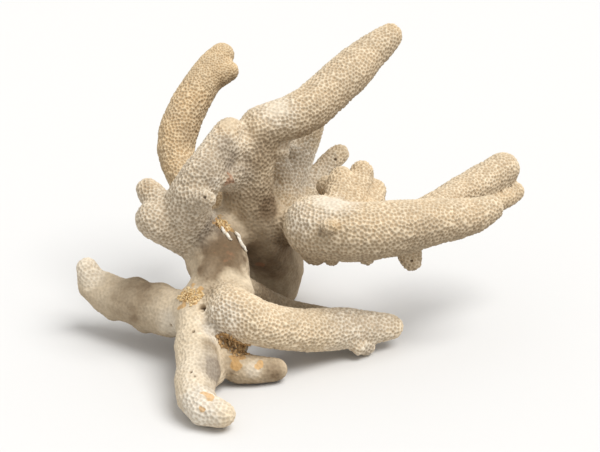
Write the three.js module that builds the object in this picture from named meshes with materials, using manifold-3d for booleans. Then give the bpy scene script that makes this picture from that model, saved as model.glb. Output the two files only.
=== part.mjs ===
// Branching coral: the dry skeleton of a finger coral, split at its main forks into limbs.
// Millimetres, +Z up. Each limb is swept along the smooth curve that it grew on, with domed ends.
import * as THREE from "three";
import { mergeVertices } from "three/addons/utils/BufferGeometryUtils.js";
import Module from "manifold-3d";

const wasm = await Module();
wasm.setup();

// Driving dimensions.
const SIDES = 12; // flat sides round a limb
const RING_STEP = 7.5; // distance between rings along a limb
const DOME_RINGS = 3; // rings in the dome at each end of a limb
const GAP = 0.3; // clearance between one limb and the next at a fork
const ROUND_FIT = (1 + 1 / Math.cos(Math.PI / SIDES)) / 2; // so that the flats straddle the round
const CUT_SIDE = 400; // side of the block that stands for the rock and the ground
const SKELETON = { roughness: 0.9, metalness: 0 };

// Tints of the bare skeleton.
const IVORY = 0xe6dac2;
const TAN = 0xd8bf93;
const GREY = 0xb3a48c;

/** A limb: its name, its tint and its lobes, each a list of [x, y, z, radius] from root to tip. */
function limb(name, tint, ...lobes) {
  return { name, tint, lobes };
}

// Limbs stand on z = 0, the plane of the cut. A limb gives way to those listed before it.
const LIMBS = [
  // The trunk leans forward as it rises from the rock, and narrows towards the great finger.
  limb(
    "stem",
    GREY,
    [
      [-13, 38, -6, 10.5],
      [-12, 27, 20, 13.5],
      [-18, 11, 42, 13],
      [-22, 3.5, 60, 11],
      [-21, 4, 73, 10.5],
      [-18, 5.5, 85, 9],
    ],
    [
      [-14, 5, 79, 6],
      [-8, 7, 77.5, 4],
    ],
  ),
  // The longest finger: it turns at a worn shoulder, then rises to the back right.
  limb("great_finger", IVORY, [
    [-15, 6, 89.5, 8.5],
    [-4.5, 9.5, 91, 9.5],
    [5, 14.5, 95, 9.5],
    [11, 20, 99, 9.5],
    [20, 27.5, 105.5, 9.4],
    [29, 36.5, 112, 8.2],
    [38.5, 44, 118.5, 6],
  ]),
  // Pale column from the stem down to where the lower limbs meet.
  limb("column", IVORY, [
    [-23, 6, 45, 9],
    [-36.5, -5, 43, 12],
    [-34.5, -14, 38, 12.7],
    [-32, -23, 33, 12],
    [-35.5, -30.5, 27, 11],
    [-40, -37, 22.5, 9.5],
  ]),
  // Lobed cluster at the left with one blunt finger, joined to the stem by a thick web.
  // A low boss on its flank has a bored hole.
  limb(
    "left_crown",
    IVORY,
    [
      [-38.5, -5, 44, 10],
      [-46, -17, 58.5, 10.5],
      [-41, -19, 71.5, 9],
      [-35, -11.5, 80, 7.7],
      [-29, -2, 88, 6.5],
    ],
    [
      [-41.5, -9, 45.5, 10.5],
      [-58, -20, 57, 8.5],
    ],
    [
      [-55.5, -16, 61, 6.5],
      [-62, -9, 66, 5.2],
    ],
    [
      [-41.5, -25, 67, 5.5],
      [-36.5, -31, 69.5, 4],
    ],
    [
      [-22, 3, 70, 8.5],
      [-36, -12, 74, 7.5],
    ],
    [
      [-21, 4, 81, 7.5],
      [-31, -6, 82.5, 6.5],
    ],
  ),
  // Ochre finger that rises at the back left and ends in two lobes.
  limb(
    "tall_finger",
    TAN,
    [
      [-27, 9, 46, 8],
      [-48.5, 28.5, 55.5, 7.5],
      [-54.5, 40, 63, 8],
      [-55.5, 48, 71, 9],
      [-52, 56, 81, 9],
      [-46.7, 63.5, 89.5, 8.5],
      [-41.5, 69.5, 97, 8],
      [-36, 75, 103.5, 6],
    ],
    [
      [-40, 67.5, 94.5, 6.5],
      [-33, 68.5, 97.5, 5],
    ],
  ),
  // Finger that rises behind the great finger, with two broken side nubs.
  limb(
    "back_finger",
    IVORY,
    [
      [-13, 18.5, 45, 8],
      [-6, 30.5, 54.5, 7],
      [0, 40.5, 65.5, 6.5],
      [5, 51, 76.5, 6],
    ],
    [
      [-1, 37, 66.5, 4],
      [-5, 34, 71, 2.5],
    ],
    [
      [-6, 29, 56.5, 5.5],
      [-10.5, 30, 66, 5],
    ],
  ),
  // Thin finger with a bored tip.
  limb("pored_finger", IVORY, [
    [-7, 22, 45, 6],
    [2.5, 35, 49.5, 5.5],
    [9, 44, 57, 4.7],
    [17.5, 51.5, 63, 5],
  ]),
  // Thick arm to the right. Its root swells into a round knob, low bosses run along its
  // underside, and a peg hangs below its far end.
  limb(
    "right_arm",
    IVORY,
    [
      [-11, 9, 43, 8],
      [2, 1, 47, 9],
      [6, -20, 54, 12.5],
    ],
    [
      [6, -22, 55, 13],
      [19, -29, 55, 12],
      [38, -25.5, 55.5, 11.5],
      [54.5, -18, 55.5, 9.5],
      [68, -12, 55, 8],
      [78, -7, 57, 6],
    ],
    [
      [5, -18, 48, 8],
      [6, -15, 41.5, 6],
    ],
    [
      [14, -22, 46, 5],
      [13, -20, 40.8, 3.8],
    ],
    [
      [28, -22, 47, 5],
      [27, -20, 41.2, 4],
    ],
    [
      [42.5, -18, 49, 6.5],
      [45.5, -19, 39, 4.6],
    ],
  ),
  // Upper prong of the right arm's fork.
  limb("upper_tine", IVORY, [
    [46, -17, 55, 7],
    [67, 8, 58, 7.4],
    [79.5, 20, 60.5, 8],
    [88.5, 27.5, 63.5, 7.5],
  ]),
  // Short prong behind the upper one.
  limb("rear_tine", TAN, [
    [65, 4, 55, 5],
    [84, 17, 52, 5],
    [93.5, 26, 53.3, 4.9],
  ]),
  // Three short nubs that stand side by side behind the right arm.
  limb(
    "nub_cluster",
    IVORY,
    [
      [14, -23, 57, 6.5],
      [17, 1, 67.5, 5.5],
    ],
    [
      [20, -20, 56, 6.5],
      [26, 9.5, 67.5, 5.2],
    ],
    [
      [27, -18, 54, 6],
      [32, 10, 60, 4.7],
    ],
    [
      [15.5, -5, 64, 5],
      [11.5, 14, 60, 5],
    ],
  ),
  // Low arm to the left. Its tip turns up.
  limb("left_arm", IVORY, [
    [-40, -34, 23, 7.5],
    [-52, -25.5, 18.2, 10],
    [-61, -19, 17.7, 9.6],
    [-71, -12.5, 18, 9],
    [-81, -6, 18, 8.5],
    [-88, -3, 21.5, 6.5],
    [-90, -2.5, 29, 4.7],
  ]),
  // Foot that reaches the ground in front, with a flat flank on its right.
  limb(
    "front_foot",
    IVORY,
    [
      [-40, -37, 22.5, 7.5],
      [-40, -52, 15.5, 9],
      [-38.5, -64, 12, 8.5],
      [-39.5, -77, 9, 7.5],
      [-34, -86, 6.2, 6.5],
      [-28, -88.5, 6.3, 5],
    ],
    [
      [-37, -48.5, 13, 7],
      [-35, -57, 8, 6.8],
    ],
  ),
  // Low finger to the right. Its root climbs the column, and a bump near its tip rests on the ground.
  limb(
    "low_finger",
    IVORY,
    [
      [-32, -32, 27.5, 9],
      [-24.5, -47.5, 27.5, 10],
      [-14, -45.5, 22.3, 9],
      [1, -37, 16.2, 8.8],
      [16.5, -27.5, 12.6, 8.8],
      [28, -22, 10.5, 7],
      [37.5, -18.2, 9, 5.7],
    ],
    [
      [-25, -41, 27, 8.5],
      [-27.5, -23, 32, 7.5],
    ],
    [
      [25, -24, 8, 5],
      [27, -26.2, 4, 4.1],
    ],
  ),
  // Short foot between the front foot and the low finger, with a crusted web above its root.
  limb(
    "small_foot",
    TAN,
    [
      [-36, -47, 14, 6.5],
      [-27, -50.5, 7, 6.6],
      [-19, -51.5, 6, 5.7],
      [-9.7, -50, 5.1, 4.8],
    ],
    [
      [-28, -46, 11, 5],
      [-24.5, -44.5, 13.5, 4.5],
    ],
  ),
  // Thin finger low in the shade behind the low finger.
  limb("shade_finger", GREY, [
    [-29, -21, 30, 6],
    [-18, -13, 19, 6.5],
    [-5, -6, 9.5, 6.3],
    [9.5, -5.5, 6.3, 6],
    [24, -7, 5.2, 5],
  ]),
];

/** A solid for joining and cutting, from a closed three.js geometry. */
function solidFrom(geometry) {
  geometry.deleteAttribute("normal");
  geometry.deleteAttribute("uv");
  const merged = mergeVertices(geometry, 1e-3);
  return new wasm.Manifold(
    new wasm.Mesh({
      numProp: 3,
      vertProperties: merged.getAttribute("position").array,
      triVerts: new Uint32Array(merged.index.array),
    }),
  );
}

/** A three.js geometry from a solid. */
function geometryFrom(solid) {
  const { vertProperties, triVerts } = solid.getMesh();
  const geometry = new THREE.BufferGeometry();
  geometry.setAttribute("position", new THREE.BufferAttribute(vertProperties, 3));
  geometry.setIndex(new THREE.BufferAttribute(triVerts, 1));
  geometry.computeVertexNormals();
  return geometry;
}

/** The radius of a lobe at t, from 0 at its root to 1 at its tip. */
function radiusAt(lobe, t) {
  const place = t * (lobe.length - 1);
  const from = Math.min(Math.floor(place), lobe.length - 2);
  const blend = THREE.MathUtils.smoothstep(place, from, from + 1);
  return ROUND_FIT * THREE.MathUtils.lerp(lobe[from][3], lobe[from + 1][3], blend);
}

/** Points of a dome of radius r from its pole, at height `pole`, to its rim. */
function dome(r, pole) {
  const points = [];
  for (let i = 0; i < DOME_RINGS; i += 1) {
    const angle = (i / DOME_RINGS) * (Math.PI / 2);
    points.push(new THREE.Vector2(r * Math.sin(angle), pole * Math.cos(angle)));
  }
  return points;
}

/** One lobe: a turned profile of the right length, bent along the lobe's curve. */
function lobeSolid(lobe, growth) {
  const centres = lobe.map(([x, y, z]) => new THREE.Vector3(x, y, z));
  const path = new THREE.CatmullRomCurve3(centres, false, "centripetal");
  const length = path.getLength();
  const steps = Math.max(2, Math.round(length / RING_STEP));
  const rootRadius = radiusAt(lobe, 0) + growth;
  const tipRadius = radiusAt(lobe, 1) + growth;
  const profile = dome(rootRadius, -rootRadius);
  for (let i = 0; i <= steps; i += 1) {
    const radius = radiusAt(lobe, path.getUtoTmapping(i / steps)) + growth;
    profile.push(new THREE.Vector2(radius, (i / steps) * length));
  }
  const tip = dome(tipRadius, tipRadius).reverse();
  tip.forEach((point) => profile.push(new THREE.Vector2(point.x, point.y + length)));
  const geometry = new THREE.LatheGeometry(profile, SIDES);
  bend(geometry, path, length, steps);
  return solidFrom(geometry);
}

/** Bends a turned shape, whose axis is Y, so that its axis follows the path. */
function bend(geometry, path, length, steps) {
  const frames = path.computeFrenetFrames(steps, false);
  const position = geometry.getAttribute("position");
  const spoke = new THREE.Vector3();
  for (let i = 0; i < position.count; i += 1) {
    spoke.fromBufferAttribute(position, i);
    const share = THREE.MathUtils.clamp(spoke.y / length, 0, 1);
    const step = Math.round(share * steps);
    const past = spoke.y - (step / steps) * length;
    const point = path.getPointAt(step / steps);
    point.addScaledVector(frames.tangents[step], past);
    point.addScaledVector(frames.binormals[step], spoke.x);
    point.addScaledVector(frames.normals[step], spoke.z);
    position.setXYZ(i, point.x, point.y, point.z);
  }
}

/** All the lobes of a limb as one solid, with `growth` added to its radius. */
function limbSolid(lobes, growth) {
  const [first, ...rest] = lobes.map((lobe) => lobeSolid(lobe, growth));
  return rest.reduce((joined, lobe) => joined.add(lobe), first);
}

/** The block under the plane of the cut. */
function groundSolid() {
  const block = new THREE.BoxGeometry(CUT_SIDE, CUT_SIDE, CUT_SIDE);
  block.translate(0, 0, -CUT_SIDE / 2);
  return solidFrom(block);
}

/** The whole coral, with its origin under the middle of its box on the plane of the cut. */
function coral() {
  const ground = groundSolid();
  const grown = [];
  const limbs = new THREE.Group();
  for (const { name, tint, lobes } of LIMBS) {
    const whole = limbSolid(lobes, 0).subtract(ground);
    const cut = grown.reduce((left, neighbour) => left.subtract(neighbour), whole);
    const material = new THREE.MeshStandardMaterial({ color: tint, ...SKELETON });
    const mesh = new THREE.Mesh(geometryFrom(cut), material);
    mesh.name = name;
    limbs.add(mesh);
    grown.push(limbSolid(lobes, GAP));
  }
  const middle = new THREE.Box3().setFromObject(limbs).getCenter(new THREE.Vector3());
  limbs.position.set(-middle.x, -middle.y, 0);
  return new THREE.Group().add(limbs);
}

export default coral();
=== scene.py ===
"""Looks for the branching coral: one weathered skin with its pits, split into the limbs of the frame.

The skin is fused from the limbs of the frame, so that every fork runs in a smooth web. Geometry
Nodes press the pits of the polyps into it, and the finished skin is parted along the forks into
one closed piece for each limb. Crusts, worm tubes and fibres are pieces of their own.
All lengths are in metres.
"""

import logging
import math
from dataclasses import dataclass, field, replace
from enum import Enum

import bpy
import numpy as np
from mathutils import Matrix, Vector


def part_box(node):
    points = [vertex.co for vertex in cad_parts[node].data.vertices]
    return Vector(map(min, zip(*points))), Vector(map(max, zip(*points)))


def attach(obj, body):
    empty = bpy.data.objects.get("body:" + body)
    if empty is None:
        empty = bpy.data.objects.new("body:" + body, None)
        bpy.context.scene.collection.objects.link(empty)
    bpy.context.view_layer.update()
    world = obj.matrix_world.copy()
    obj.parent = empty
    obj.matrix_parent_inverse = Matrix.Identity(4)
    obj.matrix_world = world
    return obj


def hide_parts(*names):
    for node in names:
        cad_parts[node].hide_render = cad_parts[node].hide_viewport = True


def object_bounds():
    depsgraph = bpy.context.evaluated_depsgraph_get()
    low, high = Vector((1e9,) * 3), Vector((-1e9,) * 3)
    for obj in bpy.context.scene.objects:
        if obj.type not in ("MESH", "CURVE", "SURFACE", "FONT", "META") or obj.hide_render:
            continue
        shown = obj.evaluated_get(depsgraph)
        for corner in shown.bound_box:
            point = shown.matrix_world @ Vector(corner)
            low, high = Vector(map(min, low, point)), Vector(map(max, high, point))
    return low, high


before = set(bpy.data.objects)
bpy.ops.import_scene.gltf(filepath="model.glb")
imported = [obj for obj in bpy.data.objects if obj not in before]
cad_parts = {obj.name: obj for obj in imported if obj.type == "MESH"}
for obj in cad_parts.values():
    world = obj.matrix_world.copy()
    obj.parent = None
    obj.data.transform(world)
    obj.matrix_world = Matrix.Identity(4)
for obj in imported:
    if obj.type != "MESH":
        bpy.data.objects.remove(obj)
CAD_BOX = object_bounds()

import openvdb as vdb
from mathutils import Vector

log = logging.getLogger("coral")
MM = 0.001
TINY = 1e-12
CENTRE = (0.5, 0.5, 0.5)


class Slot(Enum):
    """The finishes that the frame's record names."""

    BARE = "bare_skeleton"
    TINTED = "tinted_skeleton"
    WEATHERED = "weathered_skeleton"


class Trait(Enum):
    """What varies over the skin. Each is a point attribute from 0 to 1."""

    PIT = "pit"
    POROUS = "porous"
    FINE = "fine"
    TAN = "tan"
    # Real grime, and painted shade under the limbs and in the crevices.
    GRIME = "grime"
    # Bleached wear, and painted light on limbs that lie in shadow.
    CHALK = "chalk"
    OCHRE = "ochre"
    RUST = "rust"


# --------------------------------------------------------------------------- node trees


class Value:
    """One number in a node tree. Arithmetic on it adds Math nodes."""

    def __init__(self, graph: "Graph", socket: bpy.types.NodeSocket) -> None:
        """Wraps a socket.

        Args:
            graph: The tree that the socket is in.
            socket: An output socket.
        """
        self.graph = graph
        self.socket = socket

    def math(self, operation: str, *others: object) -> "Value":
        """A Math node with this value first.

        Args:
            operation: The Math node's operation.
            others: Its other values, numbers or sockets.

        Returns:
            The node's result.
        """
        return self.graph.math(operation, self, *others)

    def __add__(self, other: object) -> "Value":
        """This value and another."""
        return self.graph.math("ADD", self, other)

    def __radd__(self, other: object) -> "Value":
        """Another value and this."""
        return self.graph.math("ADD", other, self)

    def __sub__(self, other: object) -> "Value":
        """This value less another."""
        return self.graph.math("SUBTRACT", self, other)

    def __rsub__(self, other: object) -> "Value":
        """Another value less this."""
        return self.graph.math("SUBTRACT", other, self)

    def __mul__(self, other: object) -> "Value":
        """This value times another."""
        return self.graph.math("MULTIPLY", self, other)

    def __rmul__(self, other: object) -> "Value":
        """Another value times this."""
        return self.graph.math("MULTIPLY", other, self)

    def __rtruediv__(self, other: object) -> "Value":
        """Another value over this."""
        return self.graph.math("DIVIDE", other, self)


class Graph:
    """Adds nodes to a shader or geometry tree."""

    def __init__(self, tree: bpy.types.NodeTree) -> None:
        """Starts on a tree.

        Args:
            tree: An empty node tree.
        """
        self.tree = tree

    def link(self, target: bpy.types.NodeSocket, value: object) -> None:
        """Sets an input from a number, vector or other default, or links it.

        Args:
            target: The input socket.
            value: A Value, an output socket or a default.
        """
        source = value.socket if isinstance(value, Value) else value
        if isinstance(source, bpy.types.NodeSocket):
            self.tree.links.new(source, target)
        else:
            target.default_value = source

    def node(self, kind: str, settings: dict | None = None, **inputs: object) -> bpy.types.Node:
        """Adds any node.

        Args:
            kind: The node's type.
            settings: Its properties, set before its sockets.
            inputs: Values or links by socket name, with _ for a space; in_2 means socket 2.

        Returns:
            The node.
        """
        made = self.tree.nodes.new(kind)
        for key, setting in (settings or {}).items():
            setattr(made, key, setting)
        for key, value in inputs.items():
            if key.startswith("in_"):
                target = made.inputs[int(key[3:])]
            else:
                named = key.replace("_", " ")
                target = next(s for s in made.inputs if s.name == named and s.enabled)
            self.link(target, value)
        return made

    def out(self, made: bpy.types.Node, name: str | int = 0) -> Value:
        """One output of a node.

        Args:
            made: The node.
            name: The output's name or number.

        Returns:
            The output as a Value.
        """
        if isinstance(name, int):
            return Value(self, [s for s in made.outputs if s.enabled][name])
        return Value(self, next(s for s in made.outputs if s.name == name and s.enabled))

    def math(self, operation: str, *values: object) -> Value:
        """A Math node.

        Args:
            operation: Its operation.
            values: Its inputs in order.

        Returns:
            Its result.
        """
        inputs = {f"in_{i}": value for i, value in enumerate(values)}
        return self.out(self.node("ShaderNodeMath", {"operation": operation}, **inputs))

    def vector(self, operation: str, *values: object) -> Value:
        """A Vector Math node.

        Args:
            operation: Its operation.
            values: Its inputs in order.

        Returns:
            Its result.
        """
        made = self.node("ShaderNodeVectorMath", {"operation": operation})
        sockets = (0, 3) if operation == "SCALE" else range(len(values))
        for number, value in zip(sockets, values):
            self.link(made.inputs[number], value)
        return self.out(made)

    def ramp(self, value: object, low: object, high: object, start: object = 0.0, end: object = 1.0) -> Value:
        """A smooth step of a value.

        Args:
            value: What is stepped.
            low: Where the step starts.
            high: Where it ends.
            start: The result at low.
            end: The result at high.

        Returns:
            The stepped value.
        """
        settings = {"data_type": "FLOAT", "interpolation_type": "SMOOTHSTEP"}
        inputs = {"in_0": value, "in_1": low, "in_2": high, "in_3": start, "in_4": end}
        return self.out(self.node("ShaderNodeMapRange", settings, **inputs))

    def mix(self, share: object, below: object, above: object) -> Value:
        """One colour over another.

        Args:
            share: How much of the colour on top shows.
            below: The colour below.
            above: The colour on top.

        Returns:
            The mixed colour.
        """
        made = self.node("ShaderNodeMix", {"data_type": "RGBA"}, in_0=share, in_6=below, in_7=above)
        return self.out(made, "Result")

    def noise(self, place: Value, size: object, detail: float = 2.0, output: str = "Fac") -> Value:
        """Soft noise.

        Args:
            place: Position.
            size: The width of a blotch.
            detail: The finer layers on it.
            output: Fac for a number from 0 to 1, Color for a vector of three.

        Returns:
            The noise.
        """
        made = self.node("ShaderNodeTexNoise", None, Vector=place, Scale=1 / size, Detail=detail)
        return self.out(made, output)

    def shift(self, place: Value, size: object, reach: object, detail: float = 2.0) -> Value:
        """A wandering offset.

        Args:
            place: Position.
            size: The width of one bend.
            reach: How much the noise is scaled by.
            detail: The finer layers on it.

        Returns:
            The offset.
        """
        centred = self.vector("SUBTRACT", self.noise(place, size, detail, "Color"), CENTRE)
        return self.vector("SCALE", centred, reach)

    def attribute(self, name: str) -> Value:
        """A point attribute, read in a geometry tree."""
        return self.out(self.node("GeometryNodeInputNamedAttribute", {"data_type": "FLOAT"}, Name=name))

    def luck(self, least: float, most: float, seed: int) -> Value:
        """A random number for each point, in a geometry tree.

        Args:
            least: The least it can be.
            most: The most it can be.
            seed: Its seed.

        Returns:
            The number.
        """
        settings = {"data_type": "FLOAT"}
        return self.out(self.node("FunctionNodeRandomValue", settings, Min=least, Max=most, Seed=seed))

    def surface(self, colour: Value, height: Value, look: "Surface") -> None:
        """Ends a material.

        Args:
            colour: The base colour.
            height: The height that the bump follows.
            look: The rest of the finish.
        """
        bump = self.node("ShaderNodeBump", None, Strength=look.relief, Distance=look.grain, Height=height)
        shader = self.node(
            "ShaderNodeBsdfPrincipled",
            None,
            Base_Color=colour,
            Roughness=look.roughness,
            Specular_IOR_Level=look.gloss,
            Normal=self.out(bump),
        )
        self.node("ShaderNodeOutputMaterial", None, Surface=self.out(shader))

    def close(self, geometry: Value, finish: Value) -> None:
        """Ends a geometry tree with real geometry and its material.

        Args:
            geometry: What the tree has made.
            finish: Its material.
        """
        real = self.out(self.node("GeometryNodeRealizeInstances", None, Geometry=geometry))
        dressed = self.out(self.node("GeometryNodeSetMaterial", None, Geometry=real, Material=finish))
        self.node("NodeGroupOutput", None, in_0=dressed)


def geometry_tree(
    name: str, takes: str, gives: str, sizes: tuple[str, ...], counts: tuple[str, ...] = ()
) -> tuple[Graph, dict[str, Value]]:
    """Starts a geometry tree with named inputs.

    Args:
        name: The tree's name.
        takes: What its geometry input is called.
        gives: What its geometry output is called.
        sizes: Its inputs that are lengths or shares.
        counts: Its inputs that are whole numbers.

    Returns:
        The tree as a graph, and its inputs by name.
    """
    tree = bpy.data.node_groups.new(name, "GeometryNodeTree")
    inputs = {takes: "NodeSocketGeometry"}
    inputs |= {label: "NodeSocketFloat" for label in sizes}
    inputs |= {label: "NodeSocketInt" for label in counts}
    inputs["Finish"] = "NodeSocketMaterial"
    for label, kind in inputs.items():
        tree.interface.new_socket(label, in_out="INPUT", socket_type=kind)
    tree.interface.new_socket(gives, in_out="OUTPUT", socket_type="NodeSocketGeometry")
    graph = Graph(tree)
    given = graph.node("NodeGroupInput")
    return graph, {socket.name: graph.out(given, socket.name) for socket in given.outputs if socket.name}


def bare_material(name: str) -> tuple[bpy.types.Material, Graph]:
    """Starts a material.

    Args:
        name: Its name.

    Returns:
        The material, and its empty tree.
    """
    made = bpy.data.materials.new(name)
    made.use_nodes = True
    made.node_tree.nodes.clear()
    return made, Graph(made.node_tree)


# --------------------------------------------------------------------------- colours


def srgb(code: str) -> tuple[float, float, float, float]:
    """A linear colour from its usual hex code.

    Args:
        code: Six hex digits.

    Returns:
        Red, green, blue and alpha.
    """
    parts = [int(code[i : i + 2], 16) / 255 for i in (0, 2, 4)]
    linear = [c / 12.92 if c <= 0.04045 else ((c + 0.055) / 1.055) ** 2.4 for c in parts]
    return (*linear, 1.0)


@dataclass(frozen=True)
class Surface:
    """How a dry finish takes the light."""

    roughness: float
    gloss: float
    relief: float
    grain: float


@dataclass(frozen=True)
class Skeleton:
    """Dry coral: pale walls round tan pits with painted shade, tanned tips, grime with painted shade, chalk
    with painted light, and stains.
    """

    name: str = "bare_coral"
    wall: str = "e9d9be"
    tan: str = "dcc093"
    # The grime and soil colours are real dirt and also painted shade; the chalk colour is bleached wear and
    # also painted light.
    grime: str = "8f7b61"
    soil_and_shade: str = "604b35"
    chalk: str = "efe8da"
    ochre: str = "cc9e5e"
    rust: str = "9a6a4c"
    # The pit colours are the tan of the pits and also painted shade in the hollows.
    pit: str = "a08562"
    tan_pit: str = "a27c4c"
    dirt_and_shade_pit: str = "625240"
    # How much of each colour shows where its trait is full.
    soil_and_shade_share: float = 0.65
    chalk_and_light_share: float = 0.85
    pit_share: float = 0.62
    ochre_share: float = 0.7
    rust_share: float = 0.6
    # A trait's share outside the blotches, and what a blotch adds to it.
    tan_blotch: tuple[float, float] = (0.55, 0.9)
    grime_and_shade_blotch: tuple[float, float] = (0.7, 0.6)
    # The levels between which a colour comes in.
    soil_and_shade_edge: tuple[float, float] = (0.75, 1.0)
    ochre_edge: tuple[float, float] = (0.35, 0.75)
    rust_edge: tuple[float, float] = (0.35, 0.8)
    # How far the specks fray the edge of a stain.
    fray: float = 0.6
    # Where a noise is at its darkest and lightest, and the tones that it has there.
    noise_edge: tuple[float, float] = (0.3, 0.7)
    speck_tone: tuple[float, float] = (0.9, 1.06)
    blotch_tone: tuple[float, float] = (0.93, 1.04)
    blotch_size: float = 9 * MM
    speck_size: float = 1.6 * MM
    grit_size: float = 0.45 * MM
    layers: float = 3.0
    # What the noises add to the height that the bump follows.
    grit_height: float = 0.6
    speck_height: float = 0.8
    surface: Surface = Surface(roughness=0.92, gloss=0.25, relief=0.5, grain=0.25 * MM)

    def blotched(self, level: Value, blotch: Value, shares: tuple[float, float]) -> Value:
        """A trait that is stronger in the blotches, up to 1."""
        return (level * (shares[0] + shares[1] * blotch)).math("MINIMUM", 1.0)

    def stain(self, graph: Graph, level: Value, speck: Value, edge: tuple[float, float]) -> Value:
        """A stain's strength, with a frayed edge."""
        return graph.ramp(level + (speck - 0.5) * self.fray, *edge)

    def build(self) -> bpy.types.Material:
        """Makes the material.

        Returns:
            The material.
        """
        made, graph = bare_material(self.name)
        place = graph.out(graph.node("ShaderNodeTexCoord"), "Object")
        level = {
            trait: graph.out(graph.node("ShaderNodeAttribute", {"attribute_name": trait.value}), "Fac")
            for trait in Trait
        }
        blotch = graph.noise(place, self.blotch_size, self.layers)
        speck = graph.noise(place, self.speck_size, self.layers)
        grit = graph.noise(place, self.grit_size)
        tanned = self.blotched(level[Trait.TAN], blotch, self.tan_blotch)
        # The grime trait darkens the colour as real dirt and as painted shade: under the crown and the
        # fingers, in the crevices and on faces turned down.
        dirt_and_shade = self.blotched(level[Trait.GRIME], blotch, self.grime_and_shade_blotch)
        soiled_and_shaded = graph.ramp(dirt_and_shade, *self.soil_and_shade_edge)
        colour = graph.mix(tanned, srgb(self.wall), srgb(self.tan))
        colour = graph.mix(dirt_and_shade, colour, srgb(self.grime))
        colour = graph.mix(soiled_and_shaded * self.soil_and_shade_share, colour, srgb(self.soil_and_shade))
        # Chalk whitens the colour as bleached wear and as painted light on limbs that lie in shadow.
        colour = graph.mix(level[Trait.CHALK] * self.chalk_and_light_share, colour, srgb(self.chalk))
        # Pits take their tan colour and painted shade of the hollow, darkest where the grime and painted
        # shade are.
        hollow = graph.mix(tanned, srgb(self.pit), srgb(self.tan_pit))
        hollow = graph.mix(dirt_and_shade, hollow, srgb(self.dirt_and_shade_pit))
        colour = graph.mix(level[Trait.PIT] * self.pit_share, colour, hollow)
        ochre = self.stain(graph, level[Trait.OCHRE], speck, self.ochre_edge)
        colour = graph.mix(ochre * self.ochre_share, colour, srgb(self.ochre))
        rust = self.stain(graph, level[Trait.RUST], speck, self.rust_edge)
        colour = graph.mix(rust * self.rust_share, colour, srgb(self.rust))
        fine_tone = graph.ramp(speck, *self.noise_edge, *self.speck_tone)
        broad_tone = graph.ramp(blotch, *self.noise_edge, *self.blotch_tone)
        colour = graph.vector("SCALE", colour, fine_tone * broad_tone)
        height = grit * self.grit_height + speck * self.speck_height
        graph.surface(colour, height, self.surface)
        return made


# --------------------------------------------------------------------------- fields of the limbs


@dataclass(frozen=True)
class Spot:
    """A place on a limb, as fractions of the limb's box."""

    limb: str
    across: float
    along: float
    up: float

    def point(self) -> np.ndarray:
        """The place in metres."""
        low, high = (np.array(corner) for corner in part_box(self.limb))
        return low + (high - low) * np.array((self.across, self.along, self.up))


@dataclass(frozen=True)
class Boss:
    """A small swelling on the skin."""

    spot: Spot
    radius: float
    fillet: float = 2.0 * MM


@dataclass(frozen=True)
class Facet:
    """A worn flat: the skin is cut back to a plane through a place under it.

    The cut is flat over the reach and lifts off past it, as far as the margin. The field further
    under the plane than the depth stays as it is.
    """

    spot: Spot
    facing: tuple[float, float, float]
    reach: float
    edge: float = 1.5 * MM
    margin: float = 4 * MM
    lift: float = 1.5
    depth: float = 2 * MM


@dataclass(frozen=True)
class Bore:
    """A small hole left by a borer."""

    spot: Spot
    radius: float
    depth: float


@dataclass(frozen=True)
class Patch:
    """A soft round area in which a trait moves to a value."""

    spot: Spot
    radius: float
    value: float
    ragged: float = 0.07


@dataclass(frozen=True)
class LimbLook:
    """How a whole limb has weathered and how much painted shade and light it takes, and the slot that its
    finish comes from.
    """

    porous: float
    tan: float
    # Grime here is real dirt and painted shade; chalk is bleached wear and painted light.
    grime: float
    chalk: float = 0.0
    web: float = 3.0 * MM
    slot: Slot = Slot.BARE
    # How much painted shade the faces turned down take.
    underside_shade: float = 0.85


# In the order in which the limbs are joined.
LOOKS = {
    "stem": LimbLook(0.2, 0.2, 0.66, slot=Slot.WEATHERED, underside_shade=0.6),
    "great_finger": LimbLook(1.0, 0.15, 0.08, web=4 * MM),
    "column": LimbLook(0.2, 0.1, 0.3, web=2 * MM),
    "left_crown": LimbLook(1.0, 0.05, 0.22, 0.3, web=2 * MM, underside_shade=0.45),
    "tall_finger": LimbLook(1.0, 0.6, 0.05, web=3 * MM, slot=Slot.TINTED),
    "back_finger": LimbLook(1.0, 0.15, 0.0, web=3 * MM, underside_shade=0.3),
    "pored_finger": LimbLook(0.8, 0.25, 0.0, web=2 * MM, underside_shade=0.2),
    "right_arm": LimbLook(1.0, 0.18, 0.05, web=2 * MM),
    "upper_tine": LimbLook(1.0, 0.12, 0.06, web=1 * MM),
    "rear_tine": LimbLook(0.9, 0.35, 0.06, web=0.7 * MM, slot=Slot.TINTED),
    "nub_cluster": LimbLook(1.0, 0.3, 0.05, web=2 * MM),
    "left_arm": LimbLook(0.25, 0.05, 0.4, web=5 * MM, underside_shade=0.5),
    "front_foot": LimbLook(0.5, 0.05, 0.06, web=5 * MM, underside_shade=0.2),
    "low_finger": LimbLook(1.0, 0.15, 0.0, web=1.5 * MM, underside_shade=0.1),
    "small_foot": LimbLook(0.35, 0.25, 0.35, web=1.5 * MM, slot=Slot.TINTED),
    "shade_finger": LimbLook(0.5, 0.15, 0.55, web=2 * MM, slot=Slot.WEATHERED),
}

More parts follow.
